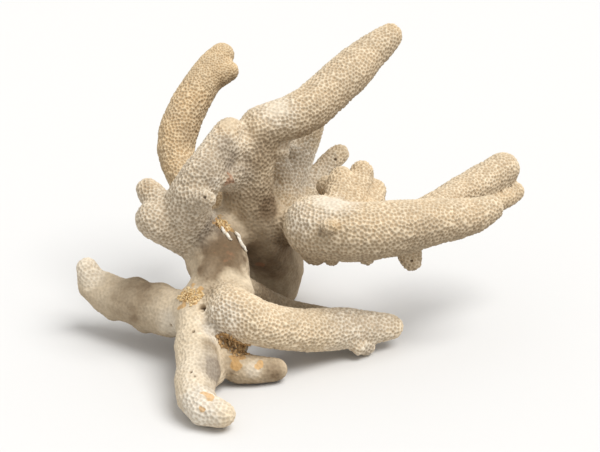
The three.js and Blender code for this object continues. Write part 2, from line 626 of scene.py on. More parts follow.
BOSSES = (
    Boss(Spot("right_arm", 0.23, 0.045, 0.78), 3.2 * MM, 1 * MM),
    Boss(Spot("left_arm", 0.22, 0.79, 0.69), 2.6 * MM, 4 * MM),
    Boss(Spot("left_arm", 0.47, 0.62, 0.66), 3.4 * MM, 5 * MM),
    Boss(Spot("left_arm", 0.66, 0.46, 0.62), 4.4 * MM, 5 * MM),
    Boss(Spot("left_arm", 0.28, 0.69, 0.14), 3.2 * MM, 3 * MM),
    Boss(Spot("left_arm", 0.54, 0.46, 0.10), 3.6 * MM, 3 * MM),
    Boss(Spot("low_finger", 0.76, 0.60, 0.14), 3.4 * MM, 2 * MM),
    Boss(Spot("left_crown", 0.80, 0.46, 0.63), 2.6 * MM),
)

FACETS = (
    Facet(Spot("right_arm", 0.10, 0.18, 0.71), (-0.66, -0.70, 0.25), 6 * MM),
)

BORES = (
    Bore(Spot("left_crown", 0.63, 0.02, 0.60), 0.7 * MM, 1.6 * MM),
    Bore(Spot("column", 0.39, 0.04, 0.37), 1.4 * MM, 2.2 * MM),
    Bore(Spot("left_arm", 0.77, 0.03, 0.40), 0.6 * MM, 1.2 * MM),
    Bore(Spot("front_foot", 0.30, 0.70, 0.87), 0.6 * MM, 1.2 * MM),
    Bore(Spot("front_foot", 0.33, 0.32, 0.62), 0.5 * MM, 0.9 * MM),
    Bore(Spot("front_foot", 0.40, 0.28, 0.60), 0.45 * MM, 0.8 * MM),
    Bore(Spot("pored_finger", 0.79, 0.70, 0.82), 0.6 * MM, 1.2 * MM),
    Bore(Spot("right_arm", 0.59, 0.31, 0.17), 0.6 * MM, 1.2 * MM),
)

# Patches of one trait are laid in this order, each over the ones before it.
PATCHES = {
    Trait.POROUS: (
        Patch(Spot("stem", 0.5, 0.15, 0.80), 30 * MM, 0.95),
        Patch(Spot("great_finger", 0.20, 0.10, 0.38), 7 * MM, 0.5),
        Patch(Spot("right_arm", 0.25, 0.26, 0.98), 10 * MM, 0.4),
        Patch(Spot("left_arm", 0.08, 0.78, 0.85), 11 * MM, 0.6),
        Patch(Spot("front_foot", 0.50, 0.10, 0.40), 16 * MM, 0.65),
        Patch(Spot("left_crown", 0.80, 0.73, 0.98), 6 * MM, 0.45),
        Patch(Spot("low_finger", 0.20, 0.55, 0.95), 9 * MM, 0.15),
    ),
    Trait.FINE: (
        Patch(Spot("tall_finger", 0.62, 0.85, 0.90), 26 * MM, 1.0),
    ),
    Trait.TAN: (
        Patch(Spot("left_crown", 0.80, 0.72, 0.97), 8 * MM, 0.75),
        Patch(Spot("left_crown", 0.11, 0.54, 0.60), 8 * MM, 0.5),
        Patch(Spot("great_finger", 0.95, 0.92, 0.95), 9 * MM, 0.4),
        Patch(Spot("right_arm", 0.25, 0.04, 0.80), 4 * MM, 0.6),
    ),
    # Grime patches are partly real dirt and partly painted shade: under the crown on the column and the left
    # arm, on the front foot's flank, at the roots of the low finger and the small foot, below the crown's
    # knob and on the shade finger.
    Trait.GRIME: (
        Patch(Spot("stem", 0.5, 0.1, 0.90), 22 * MM, 0.12),
        Patch(Spot("right_arm", 0.20, 0.06, 0.70), 3 * MM, 0.6),
        Patch(Spot("left_arm", 0.08, 0.78, 0.85), 11 * MM, 0.05),
        Patch(Spot("column", 0.66, 0.45, 0.82), 18 * MM, 1.0),
        Patch(Spot("column", 0.47, 0.25, 0.64), 10 * MM, 0.9),
        Patch(Spot("column", 0.78, 0.28, 0.68), 9 * MM, 0.95),
        Patch(Spot("low_finger", 0.03, 0.39, 0.91), 6 * MM, 0.6),
        Patch(Spot("low_finger", 0.22, 0.43, 0.89), 6 * MM, 0.4),
        Patch(Spot("low_finger", 0.13, 0.50, 0.97), 7 * MM, 0.35),
        Patch(Spot("shade_finger", 0.28, 0.30, 0.74), 10 * MM, 0.75),
        Patch(Spot("left_arm", 0.78, 0.06, 0.30), 9 * MM, 0.1),
        Patch(Spot("stem", 0.56, 0.10, 0.86), 10 * MM, 0.65),
        Patch(Spot("stem", 0.59, 0.10, 0.59), 9 * MM, 0.85),
        Patch(Spot("stem", 0.83, 0.26, 0.83), 7 * MM, 0.05),
        Patch(Spot("stem", 0.12, 0.08, 0.59), 6 * MM, 0.3),
        Patch(Spot("left_crown", 0.50, 0.16, 0.48), 14 * MM, 0.4),
        Patch(Spot("left_crown", 0.98, 0.68, 0.65), 9 * MM, 0.75),
        Patch(Spot("left_crown", 0.82, 0.52, 0.75), 9 * MM, 0.85),
        Patch(Spot("left_crown", 0.80, 0.52, 0.84), 7 * MM, 0.8),
        Patch(Spot("small_foot", 0.84, 0.14, 0.38), 7 * MM, 0.8),
        Patch(Spot("left_arm", 0.50, 0.45, 0.60), 18 * MM, 0.8),
        Patch(Spot("stem", 0.60, 0.20, 0.35), 22 * MM, 0.84),
        Patch(Spot("front_foot", 0.68, 0.44, 0.54), 11 * MM, 0.95),
        Patch(Spot("front_foot", 0.64, 0.24, 0.48), 5 * MM, 0.5),
        Patch(Spot("front_foot", 0.61, 0.60, 0.74), 7 * MM, 0.8),
        Patch(Spot("front_foot", 0.57, 0.78, 0.85), 6 * MM, 0.7),
        Patch(Spot("small_foot", 0.32, 0.05, 0.50), 6 * MM, 0.7),
        Patch(Spot("low_finger", 0.82, 0.60, 0.08), 5 * MM, 0.6),
        Patch(Spot("left_crown", 0.70, 0.30, 0.72), 9 * MM, 0.6),
        Patch(Spot("left_crown", 0.65, 0.36, 0.26), 6 * MM, 0.8),
        Patch(Spot("tall_finger", 0.42, 0.48, 0.50), 9 * MM, 0.3),
        Patch(Spot("right_arm", 0.65, 0.16, 0.62), 10 * MM, 0.3),
    ),
    # Chalk patches are partly bleached wear and partly painted light: the large ones on the low finger's tip,
    # the pored and back fingers and the stem's web lighten parts that lie in shadow.
    Trait.CHALK: (
        Patch(Spot("great_finger", 0.20, 0.10, 0.36), 12 * MM, 0.45),
        Patch(Spot("right_arm", 0.25, 0.26, 0.98), 14 * MM, 0.6),
        Patch(Spot("front_foot", 0.50, 0.40, 0.60), 14 * MM, 0.3),
        Patch(Spot("low_finger", 0.09, 0.12, 0.72), 12 * MM, 0.7),
        Patch(Spot("left_arm", 0.78, 0.06, 0.40), 9 * MM, 0.4),
        Patch(Spot("left_crown", 0.69, 0.54, 0.33), 5 * MM, 0.5),
        Patch(Spot("left_crown", 0.71, 0.28, 0.63), 4 * MM, 0.6),
        Patch(Spot("right_arm", 0.12, 0.20, 0.85), 12 * MM, 0.5),
        Patch(Spot("left_arm", 0.10, 0.75, 0.85), 10 * MM, 0.5),
        Patch(Spot("front_foot", 0.45, 0.08, 0.35), 13 * MM, 0.9),
        Patch(Spot("low_finger", 0.80, 0.58, 0.40), 24 * MM, 0.5),
        Patch(Spot("pored_finger", 0.60, 0.60, 0.70), 14 * MM, 0.4),
        Patch(Spot("back_finger", 0.60, 0.40, 0.55), 18 * MM, 0.8),
        Patch(Spot("stem", 0.83, 0.26, 0.83), 8 * MM, 0.4),
        Patch(Spot("small_foot", 0.60, 0.05, 0.45), 5 * MM, 0.4),
    ),
    Trait.OCHRE: (
        Patch(Spot("front_foot", 0.56, 0.10, 0.46), 3.2 * MM, 1.0, ragged=0.5),
        Patch(Spot("small_foot", 0.42, 0.12, 0.58), 4 * MM, 1.0, ragged=0.5),
        Patch(Spot("small_foot", 0.66, 0.09, 0.45), 2.5 * MM, 0.9, ragged=0.5),
        Patch(Spot("column", 0.20, 0.15, 0.42), 6 * MM, 0.8, ragged=0.5),
        Patch(Spot("column", 0.60, 0.59, 0.92), 6 * MM, 0.7, ragged=0.5),
    ),
    Trait.RUST: (
        Patch(Spot("left_crown", 0.80, 0.46, 0.63), 3.5 * MM, 0.9, ragged=0.5),
        Patch(Spot("stem", 0.47, 0.24, 0.29), 2.5 * MM, 0.8, ragged=0.5),
        Patch(Spot("column", 0.70, 0.34, 0.74), 4 * MM, 0.5, ragged=0.5),
    ),
}


@dataclass
class LimbField:
    """Signed distance to one limb of the frame, on its own block of the grid."""

    name: str
    start: np.ndarray
    block: np.ndarray


@dataclass
class Skin:
    """A skin as arrays: places, quads, the limb of each quad, and the traits of each place."""

    places: np.ndarray
    quads: np.ndarray
    owners: np.ndarray
    traits: dict[Trait, np.ndarray] = field(default_factory=dict)


def rounding(first: np.ndarray, second: np.ndarray, width: float) -> np.ndarray:
    """How far the crease between two fields is rounded.

    Args:
        first: One field.
        second: The other.
        width: The width over which the two run together.

    Returns:
        The distance to take off their least, or to add to their greatest.
    """
    overlap = np.maximum(width - np.abs(first - second), 0) / width
    return overlap * overlap * width * 0.25


def eased(share: np.ndarray) -> np.ndarray:
    """A share from 0 to 1 that starts and ends gently."""
    return share * share * (3 - 2 * share)


@dataclass
class Fusion:
    """Fuses the limbs of the frame into one skin with a smooth web at every fork."""

    names: list[str]
    voxel: float = 0.7 * MM
    reach: float = 10.0 * MM
    soften: float = 0.8 * MM
    margin: float = 12.0 * MM
    loss: float = 0.10 * MM
    # The blur's reach, in standard deviations.
    blur_reach: float = 2.5
    tolerance: float = 1e-6

    def __post_init__(self) -> None:
        """Lays out the grid round the whole frame."""
        low, high = (np.array(corner) for corner in CAD_BOX)
        self.pad = int(self.margin / self.voxel)
        self.origin = np.floor(low / self.voxel).astype(int) - self.pad
        self.shape = np.ceil(high / self.voxel).astype(int) + self.pad - self.origin + 1
        self.limbs: list[LimbField] = []

    def limb_field(self, name: str) -> LimbField:
        """Measures the distance to one limb.

        Args:
            name: The limb's node.

        Returns:
            Its field.
        """
        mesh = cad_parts[name].data
        mesh.calc_loop_triangles()
        places = np.zeros(len(mesh.vertices) * 3, np.float32)
        mesh.vertices.foreach_get("co", places)
        triangles = np.zeros(len(mesh.loop_triangles) * 3, np.int32)
        mesh.loop_triangles.foreach_get("vertices", triangles)
        places = places.reshape(-1, 3)
        grid = vdb.FloatGrid.createLevelSetFromPolygons(
            places,
            triangles=triangles.reshape(-1, 3).astype(np.uint32),
            transform=vdb.createLinearTransform(self.voxel),
            halfWidth=self.reach / self.voxel,
        )
        start = np.floor(places.min(0) / self.voxel).astype(int) - self.pad
        end = np.ceil(places.max(0) / self.voxel).astype(int) + self.pad
        block = np.zeros(end - start + 1, np.float32)
        grid.copyToArray(block, ijk=tuple(int(i) for i in start))
        return LimbField(name, start, block)

    def blend(self, whole: np.ndarray, start: np.ndarray, block: np.ndarray, web: float) -> None:
        """Joins a block to the whole field with a rounded web.

        Args:
            whole: The field of the whole coral, changed in place.
            start: The block's first cell.
            block: The field that is joined.
            web: The width over which the two run together.
        """
        offset = start - self.origin
        cells = tuple(slice(int(a), int(a + n)) for a, n in zip(offset, block.shape))
        below = whole[cells]
        whole[cells] = np.minimum(below, block) - rounding(below, block, web)

    def ball(self, boss: Boss, centre: np.ndarray) -> tuple[np.ndarray, np.ndarray]:
        """The field of a small ball.

        Args:
            boss: Its size.
            centre: Its centre.

        Returns:
            The first cell of its block, and the block.
        """
        span = int((boss.radius + boss.fillet * 2) / self.voxel) + 1
        middle = np.round(centre / self.voxel).astype(int)
        steps = [np.arange(m - span, m + span + 1) * self.voxel - c for m, c in zip(middle, centre)]
        grid = np.meshgrid(*steps, indexing="ij")
        block = np.sqrt(sum(axis * axis for axis in grid)) - boss.radius
        return middle - span, block.astype(np.float32)

    def wear(self, whole: np.ndarray, facet: Facet) -> None:
        """Cuts a worn flat.

        Args:
            whole: The field of the whole coral, changed in place.
            facet: The flat.
        """
        facing = np.array(facet.facing) / np.linalg.norm(facet.facing)
        centre = facet.spot.point()
        span = int((facet.reach + facet.margin) / self.voxel)
        start = np.round(centre / self.voxel).astype(int) - span - self.origin
        cells = tuple(slice(max(int(a), 0), int(a) + 2 * span + 1) for a in start)
        below = whole[cells]
        steps = [np.arange(c.start, c.start + n) for c, n in zip(cells, below.shape)]
        offsets = [(s + o) * self.voxel - c for s, o, c in zip(steps, self.origin, centre)]
        grid = np.meshgrid(*offsets, indexing="ij")
        away = np.sqrt(sum(axis * axis for axis in grid))
        plane = sum(axis * way for axis, way in zip(grid, facing))
        plane = plane - np.maximum(away - facet.reach, 0) * facet.lift
        worn = np.maximum(below, plane) + rounding(below, plane, facet.edge)
        whole[cells] = np.where(plane > -facet.depth, worn, below)

    def blur(self, whole: np.ndarray) -> np.ndarray:
        """Softens the facets of the frame.

        Args:
            whole: The field.

        Returns:
            The softened field.
        """
        sigma = self.soften / self.voxel
        reach = int(math.ceil(self.blur_reach * sigma))
        weights = np.exp(-0.5 * (np.arange(-reach, reach + 1) / sigma) ** 2)
        weights = (weights / weights.sum()).astype(np.float32)
        for axis in range(3):
            source = np.moveaxis(whole, axis, 0)
            result = np.zeros_like(whole)
            target = np.moveaxis(result, axis, 0)
            for shift, weight in zip(range(-reach, reach + 1), weights):
                if shift < 0:
                    target[-shift:] += weight * source[:shift]
                    target[:-shift] += weight * source[:1]
                elif shift > 0:
                    target[:-shift] += weight * source[shift:]
                    target[-shift:] += weight * source[-1:]
                else:
                    target += weight * source
            whole = result
        return whole

    def sample(self, limb: LimbField, places: np.ndarray) -> np.ndarray:
        """Distance from places to one limb.

        Args:
            limb: The limb's field.
            places: Where to measure.

        Returns:
            The distances, no more than the reach.
        """
        cells = places / self.voxel - limb.start
        limit = np.array(limb.block.shape) - 2
        inside = ((cells >= 0) & (cells < limit)).all(1)
        base = np.floor(cells[inside]).astype(int)
        part = cells[inside] - base
        total = np.zeros(len(base))
        for corner in np.ndindex(2, 2, 2):
            share = np.prod(np.where(np.array(corner) == 1, part, 1 - part), axis=1)
            at = base + np.array(corner)
            total += share * limb.block[at[:, 0], at[:, 1], at[:, 2]]
        distances = np.full(len(places), self.reach)
        distances[inside] = total
        return distances

    def build(self) -> Skin:
        """Fuses the limbs.

        Returns:
            The skin, with the limb of each quad.
        """
        whole = np.full(self.shape, self.reach, np.float32)
        for name in self.names:
            limb = self.limb_field(name)
            self.limbs.append(limb)
            self.blend(whole, limb.start, limb.block, LOOKS[name].web)
        for boss in BOSSES:
            start, block = self.ball(boss, boss.spot.point())
            self.blend(whole, start, block, boss.fillet)
        for facet in FACETS:
            self.wear(whole, facet)
        whole = self.blur(whole) - self.loss
        grid = vdb.FloatGrid(self.reach)
        grid.transform = vdb.createLinearTransform(self.voxel)
        grid.copyFromArray(whole, ijk=tuple(int(i) for i in self.origin), tolerance=self.tolerance)
        places, quads = grid.convertToQuads(0.0)
        quads = quads.astype(np.int64)
        middles = places[quads].mean(1)
        distances = np.stack([self.sample(limb, middles) for limb in self.limbs])
        owners = Parting(quads, distances.argmin(0)).settle()
        return Skin(places.astype(np.float64), quads, owners)


@dataclass
class Parting:
    """Which quads belong to which limb, with no islands."""

    quads: np.ndarray
    owners: np.ndarray
    rounds: int = 4

    def neighbours(self) -> tuple[np.ndarray, np.ndarray]:
        """The two quads at each edge.

        Returns:
            The first and second quads.
        """
        start = self.quads.ravel()
        end = np.roll(self.quads, -1, axis=1).ravel()
        faces = np.repeat(np.arange(len(self.quads)), 4)
        keys = np.minimum(start, end) * (self.quads.max() + 1) + np.maximum(start, end)
        order = np.argsort(keys, kind="stable")
        return faces[order[0::2]], faces[order[1::2]]

    def islands(self, first: np.ndarray, second: np.ndarray) -> np.ndarray:
        """Numbers each connected area of one owner.

        Args:
            first: The first quad at each edge.
            second: The second quad at each edge.

        Returns:
            The area of each quad.
        """
        same = self.owners[first] == self.owners[second]
        first, second = first[same], second[same]
        areas = np.arange(len(self.quads))
        while True:
            least = np.minimum(areas[first], areas[second])
            fresh = areas.copy()
            np.minimum.at(fresh, first, least)
            np.minimum.at(fresh, second, least)
            fresh = fresh[fresh]
            if (fresh == areas).all():
                return areas
            areas = fresh

    def settle(self) -> np.ndarray:
        """Gives each small island to the limb round it.

        Returns:
            The owner of each quad.
        """
        first, second = self.neighbours()
        self.owners = self.owners.copy()
        for _ in range(self.rounds):
            areas = self.islands(first, second)
            labels, sizes = np.unique(areas, return_counts=True)
            largest = {}
            for label, size in zip(labels, sizes):
                owner = int(self.owners[label])
                if size > largest.get(owner, (0, 0))[0]:
                    largest[owner] = (int(size), int(label))
            kept = {label for _, label in largest.values()}
            loose = [label for label in labels if int(label) not in kept]
            if not loose:
                break
            for label in loose:
                inside = areas == label
                rim = np.concatenate(
                    [second[inside[first] & ~inside[second]], first[inside[second] & ~inside[first]]]
                )
                self.owners[inside] = np.bincount(self.owners[rim]).argmax()
        return self.owners


@dataclass
class Weathering:
    """Spreads the traits over the skin: each limb's own look, soft at the forks, the patches, and painted
    shade on the faces turned down.
    """

    # Faces whose normal rises less than this are darkened: painted shade under things.
    underside_shade_start: float = 0.45
    fork_blur: float = 3.0 * MM
    ripple: float = 4.0 * MM
    # How steeply a patch fades: over 1 / 1.6 of its radius, from its rim inwards.
    patch_edge: float = 1.6
    # Under this height the pits fade out towards the ground.
    bare_sole: float = 1.5 * MM
    # How many waves are summed, how unlike their lengths are, and how far apart they may start.
    wave_count: int = 9
    stretch: tuple[float, float] = (0.8, 1.6)
    phase: float = 6.3
    seed: int = 11

    def waves(self, places: np.ndarray, size: float) -> np.ndarray:
        """Smooth random waves.

        Args:
            places: Where they are wanted.
            size: The width of one wave.

        Returns:
            Values about 0, mostly from -1 to 1.
        """
        random = np.random.default_rng(self.seed)
        total = np.zeros(len(places))
        for _ in range(self.wave_count):
            way = random.normal(size=3)
            way /= np.linalg.norm(way)
            turns = 2 * math.pi / (size * random.uniform(*self.stretch))
            total += np.sin(places @ way * turns + random.uniform(0, self.phase))
        return total / math.sqrt(self.wave_count)

    def dress(self, skin: Skin, fusion: Fusion) -> None:
        """Works out every trait.

        Args:
            skin: The skin, whose traits are filled in.
            fusion: The fields of the limbs.
        """
        away = [np.maximum(fusion.sample(limb, skin.places), 0) for limb in fusion.limbs]
        weights = np.stack([np.exp(-distance / self.fork_blur) for distance in away])
        weights = weights**2
        weights /= weights.sum(0)
        looks = [LOOKS[limb.name] for limb in fusion.limbs]
        for trait in Trait:
            level = np.array([getattr(look, trait.value, 0.0) for look in looks])
            skin.traits[trait] = level @ weights
        waves = self.waves(skin.places, self.ripple)
        for trait, patches in PATCHES.items():
            for patch in patches:
                away = np.linalg.norm(skin.places - patch.spot.point(), axis=1) / patch.radius
                away = away + waves * patch.ragged
                inside = eased(np.clip(self.patch_edge - away * self.patch_edge, 0, 1))
                old = skin.traits[trait]
                skin.traits[trait] = old + (patch.value - old) * inside
        # Painted shade: the faces turned down or sideways take more of the grime trait, as far as each limb
        # allows.
        painted_underside_shade = np.clip((self.underside_shade_start - mesh_normals(skin)[:, 2]) / (1 + self.underside_shade_start), 0, 1)
        painted_underside_shade *= np.array([look.underside_shade for look in looks]) @ weights
        grime = skin.traits[Trait.GRIME]
        skin.traits[Trait.GRIME] = grime + (1 - grime) * painted_underside_shade
        raised = np.clip(skin.places[:, 2] / self.bare_sole, 0, 1)
        skin.traits[Trait.POROUS] = skin.traits[Trait.POROUS] * raised


# --------------------------------------------------------------------------- the pits of the polyps


@dataclass
class PolypRelief:
    """Geometry Nodes that press the pits of the polyps into the skin."""

    pitch: float = 1.48 * MM
    spread: float = 1.76 * MM
    pit_radius: float = 1.18 * MM
    pit_depth: float = 0.72 * MM
    # The share of a pit's radius that is its full depth, and how unlike the pits are in size.
    pit_floor: float = 0.25
    pit_luck: tuple[float, float] = (0.8, 1.2)
    pit_seed: int = 3
    # The size of the young polyps, next to the others.
    young: float = 0.68
    bare_below: float = 0.04
    most_per_area: float = 5.0e6
    # The share of a lack of room that one step of settling makes up.
    shove: float = 0.45
    # How far the rims of the pits wander, and over what length.
    warp: float = 0.9 * MM
    warp_size: float = 1.1 * MM
    swell: float = 0.6 * MM
    swell_size: float = 11.0 * MM
    # The heights above the ground between which the swelling comes in.
    swell_from: float = 0.5 * MM
    swell_full: float = 3.0 * MM
    seed: int = 7
    settling: int = 14

    def tree(self) -> bpy.types.GeometryNodeTree:
        """Builds the node tree.

        Returns:
            The tree, with a named input for each size.
        """
        sizes = ("Pitch", "Spread", "Pit Radius", "Pit Depth", "Swell", "Swell Size")
        graph, size = geometry_tree("polyp_relief", "Skin", "Skin", sizes, ("Seed", "Settling"))
        normal = graph.out(graph.node("GeometryNodeInputNormal"))
        place = graph.out(graph.node("GeometryNodeInputPosition"))
        porous = graph.attribute(Trait.POROUS.value)
        fine = graph.out(graph.node("GeometryNodeSubdivisionSurface", None, Mesh=size["Skin"], Level=1))
        swollen = self.swelling(graph, fine, size, normal, place)
        points = self.polyps(graph, swollen, size, porous, place)
        pitted = self.pits(graph, swollen, points, size, porous, normal, place)
        smooth = graph.out(graph.node("GeometryNodeSetShadeSmooth", None, Geometry=pitted))
        graph.close(smooth, size["Finish"])
        return graph.tree

    def swelling(self, graph: Graph, skin: Value, size: dict, normal: Value, place: Value) -> Value:
        """Low swellings and hollows along the limbs.

        Args:
            graph: The tree.
            skin: The smooth skin.
            size: The tree's inputs.
            normal: The skin's normal.
            place: The skin's position.

        Returns:
            The uneven skin.
        """
        height = graph.out(graph.node("ShaderNodeSeparateXYZ", None, Vector=place), "Z")
        lifted = graph.ramp(height, self.swell_from, self.swell_full)
        wave = graph.noise(place, size["Swell Size"]) - 0.5
        offset = graph.vector("SCALE", normal, wave * 2.0 * size["Swell"] * lifted)
        return graph.out(graph.node("GeometryNodeSetPosition", None, Geometry=skin, Offset=offset))

    def polyps(self, graph: Graph, skin: Value, size: dict, porous: Value, place: Value) -> Value:
        """Scatters the polyps and lets them settle evenly apart.

        Args:
            graph: The tree.
            skin: The uneven skin.
            size: The tree's inputs.
            porous: Where pits show.
            place: Position.

        Returns:
            The polyps as points.
        """
        living = porous.math("GREATER_THAN", self.bare_below)
        young = graph.attribute(Trait.FINE.value).math("GREATER_THAN", 0.5)
        joined = graph.node("GeometryNodeJoinGeometry")
        for chosen, scale in ((living * (1.0 - young), 1.0), (living * young, self.young)):
            points = self.scatter(graph, skin, size, place, chosen, scale)
            graph.tree.links.new(points.socket, joined.inputs[0])
        return graph.out(joined)

    def scatter(
        self, graph: Graph, skin: Value, size: dict, place: Value, chosen: Value, scale: float
    ) -> Value:
        """Scatters polyps of one size and lets them settle evenly apart.

        Args:
            graph: The tree.
            skin: The uneven skin.
            size: The tree's inputs.
            place: Position.
            chosen: Where they grow.
            scale: Their size, from 0 to 1.

        Returns:
            The polyps as points.
        """
        scatter = graph.node(
            "GeometryNodeDistributePointsOnFaces",
            {"distribute_method": "POISSON"},
            Mesh=skin,
            Selection=chosen,
            Distance_Min=size["Pitch"] * scale,
            Density_Max=self.most_per_area,
            Seed=size["Seed"],
        )
        repeat_in = graph.tree.nodes.new("GeometryNodeRepeatInput")
        repeat_out = graph.tree.nodes.new("GeometryNodeRepeatOutput")
        repeat_in.pair_with_output(repeat_out)
        graph.link(repeat_in.inputs["Iterations"], size["Settling"])
        graph.link(repeat_in.inputs["Geometry"], graph.out(scatter, "Points"))
        points = Value(graph, repeat_in.outputs["Geometry"])
        nearest = graph.out(graph.node("GeometryNodeIndexOfNearest"), "Index")
        settings = {"data_type": "FLOAT_VECTOR"}
        other = graph.node("GeometryNodeSampleIndex", settings, Geometry=points, Value=place, Index=nearest)
        apart = graph.vector("SUBTRACT", place, graph.out(other))
        gap = graph.vector("LENGTH", apart)
        push = ((size["Spread"] * scale - gap) * self.shove).math("MAXIMUM", 0.0)
        step = graph.vector("SCALE", graph.vector("NORMALIZE", apart), push)
        moved = graph.vector("ADD", place, step)
        settings = {"target_element": "FACES"}
        onto = graph.out(
            graph.node("GeometryNodeProximity", settings, in_0=skin, Sample_Position=moved), "Position"
        )
        settled = graph.out(graph.node("GeometryNodeSetPosition", None, Geometry=points, Position=onto))
        graph.link(repeat_out.inputs["Geometry"], settled)
        result = Value(graph, repeat_out.outputs["Geometry"])
        return self.store(graph, result, "scale", scale)

    def store(self, graph: Graph, geometry: Value, name: str, value: object) -> Value:
        """Keeps a number on every point.

        Args:
            graph: The tree.
            geometry: What it is kept on.
            name: The attribute's name.
            value: The number.

        Returns:
            The geometry with the attribute.
        """
        settings = {"data_type": "FLOAT", "domain": "POINT"}
        kind = "GeometryNodeStoreNamedAttribute"
        return graph.out(graph.node(kind, settings, Geometry=geometry, Name=name, Value=value))

    def pits(
        self, graph: Graph, skin: Value, points: Value, size: dict, porous: Value, normal: Value, place: Value
    ) -> Value:
        """Presses a pit at each polyp.

        Args:
            graph: The tree.
            skin: The uneven skin.
            points: The polyps.
            size: The tree's inputs.
            porous: Where pits show.
            normal: The skin's normal.
            place: Position.

        Returns:
            The pitted skin.
        """
        place = graph.vector("ADD", place, graph.shift(place, self.warp_size, self.warp, 1.0))
        nearest = graph.out(
            graph.node("GeometryNodeSampleNearest", None, Geometry=points, Sample_Position=place)
        )
        luck = graph.luck(*self.pit_luck, self.pit_seed) * graph.attribute("scale")
        settings = {"data_type": "FLOAT"}
        wide = graph.out(
            graph.node("GeometryNodeSampleIndex", settings, Geometry=points, Value=luck, Index=nearest)
        )
        settings = {"target_element": "POINTS"}
        away = graph.out(
            graph.node("GeometryNodeProximity", settings, in_0=points, Sample_Position=place), "Distance"
        )
        radius = size["Pit Radius"] * wide
        shown = graph.ramp(away, radius * self.pit_floor, radius, 1.0, 0.0) * porous
        marked = self.store(graph, skin, Trait.PIT.value, shown)
        offset = graph.vector("SCALE", normal, shown * wide * size["Pit Depth"] * -1.0)
        return graph.out(graph.node("GeometryNodeSetPosition", None, Geometry=marked, Offset=offset))

    def press(self, skin: Skin, finish: bpy.types.Material) -> Skin:
        """Runs the tree on the skin.

        Args:
            skin: The bare skin.
            finish: The material that the tree sets.

        Returns:
            The fine, pitted skin.
        """
        carrier = mesh_object("skin", skin.places, skin.quads)
        mesh = carrier.data
        for trait in Trait:
            layer = mesh.attributes.new(trait.value, "FLOAT", "POINT")
            layer.data.foreach_set("value", skin.traits[trait].astype(np.float32))
        mesh.attributes.new("limb", "INT", "FACE").data.foreach_set("value", skin.owners.astype(np.int32))
        modifier = carrier.modifiers.new("polyp_relief", "NODES")
        modifier.node_group = self.tree()
        values = {
            "Pitch": self.pitch,
            "Spread": self.spread,
            "Pit Radius": self.pit_radius,
            "Pit Depth": self.pit_depth,
            "Swell": self.swell,
            "Swell Size": self.swell_size,
            "Seed": self.seed,
            "Settling": self.settling,
            "Finish": finish,
        }
        set_inputs(modifier, values)
        fine = evaluated(carrier)
        count, faces = len(fine.vertices), len(fine.polygons)
        places = np.zeros(count * 3, np.float32)
        fine.vertices.foreach_get("co", places)
        quads = np.zeros(faces * 4, np.int32)
        fine.loops.foreach_get("vertex_index", quads)
        owners = np.zeros(faces, np.int32)
        fine.attributes["limb"].data.foreach_get("value", owners)
        pitted = Skin(places.reshape(-1, 3).astype(np.float64), quads.reshape(-1, 4), owners)
        for trait in Trait:
            levels = np.zeros(count, np.float32)
            fine.attributes[trait.value].data.foreach_get("value", levels)
            pitted.traits[trait] = levels
        bpy.data.meshes.remove(fine)
        return pitted


# --------------------------------------------------------------------------- mesh helpers


def place_object(name: str, data: bpy.types.ID) -> bpy.types.Object:
    """Puts a new object in the scene.

    Args:
        name: Its name.
        data: Its mesh, light or camera.

    Returns:
        The object, at the origin.
    """
    made = bpy.data.objects.new(name, data)
    bpy.context.scene.collection.objects.link(made)
    return made


def mesh_object(
    name: str, places: np.ndarray, faces: np.ndarray, extra: np.ndarray | None = None
) -> bpy.types.Object:
    """A mesh object at the origin.

    Args:
        name: Its name.
        places: Its vertices.
        faces: Its quads.
        extra: Its triangles.

    Returns:
        The object, in the scene.
    """
    mesh = bpy.data.meshes.new(name)
    extra = np.zeros((0, 3), np.int32) if extra is None else extra
    corners = np.concatenate([faces.ravel(), extra.ravel()]).astype(np.int32)
    starts = np.concatenate([np.arange(len(faces)) * 4, faces.size + np.arange(len(extra)) * 3])
    mesh.vertices.add(len(places))
    mesh.vertices.foreach_set("co", places.astype(np.float32).ravel())
    mesh.loops.add(len(corners))
    mesh.loops.foreach_set("vertex_index", corners)
    mesh.polygons.add(len(starts))
    mesh.polygons.foreach_set("loop_start", starts.astype(np.int32))
    mesh.update(calc_edges=True)
    return place_object(name, mesh)


def set_inputs(modifier: bpy.types.NodesModifier, values: dict) -> None:
    """Sets a Geometry Nodes modifier's inputs by the sockets' identifiers.

    Args:
        modifier: The modifier.
        values: The values by socket name.
    """
    for item in modifier.node_group.interface.items_tree:
        if item.item_type == "SOCKET" and item.in_out == "INPUT" and item.name in values:
            modifier[item.identifier] = values[item.name]


def evaluated(carrier: bpy.types.Object) -> bpy.types.Mesh:
    """The mesh that an object's modifiers make; the object itself is removed.

    Args:
        carrier: The object.

    Returns:
        The plain mesh.
    """
    graph = bpy.context.evaluated_depsgraph_get()
    mesh = bpy.data.meshes.new_from_object(
        carrier.evaluated_get(graph), preserve_all_data_layers=True, depsgraph=graph
    )
    carrier.modifiers.clear()
    old = carrier.data
    bpy.data.objects.remove(carrier)
    bpy.data.meshes.remove(old)
    return mesh


def finish_piece(piece: bpy.types.Object, slot: Slot, *nodes: str) -> None:
    """Says what a piece rides on and stands for.

    Args:
        piece: The piece.
        slot: Its finish; not used.
        nodes: The nodes that it stands for.
    """
    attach(piece, "root")
    if nodes:
        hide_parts(*nodes)
    log.info("%s: %d faces", piece.name, len(piece.data.polygons))


# --------------------------------------------------------------------------- the limbs


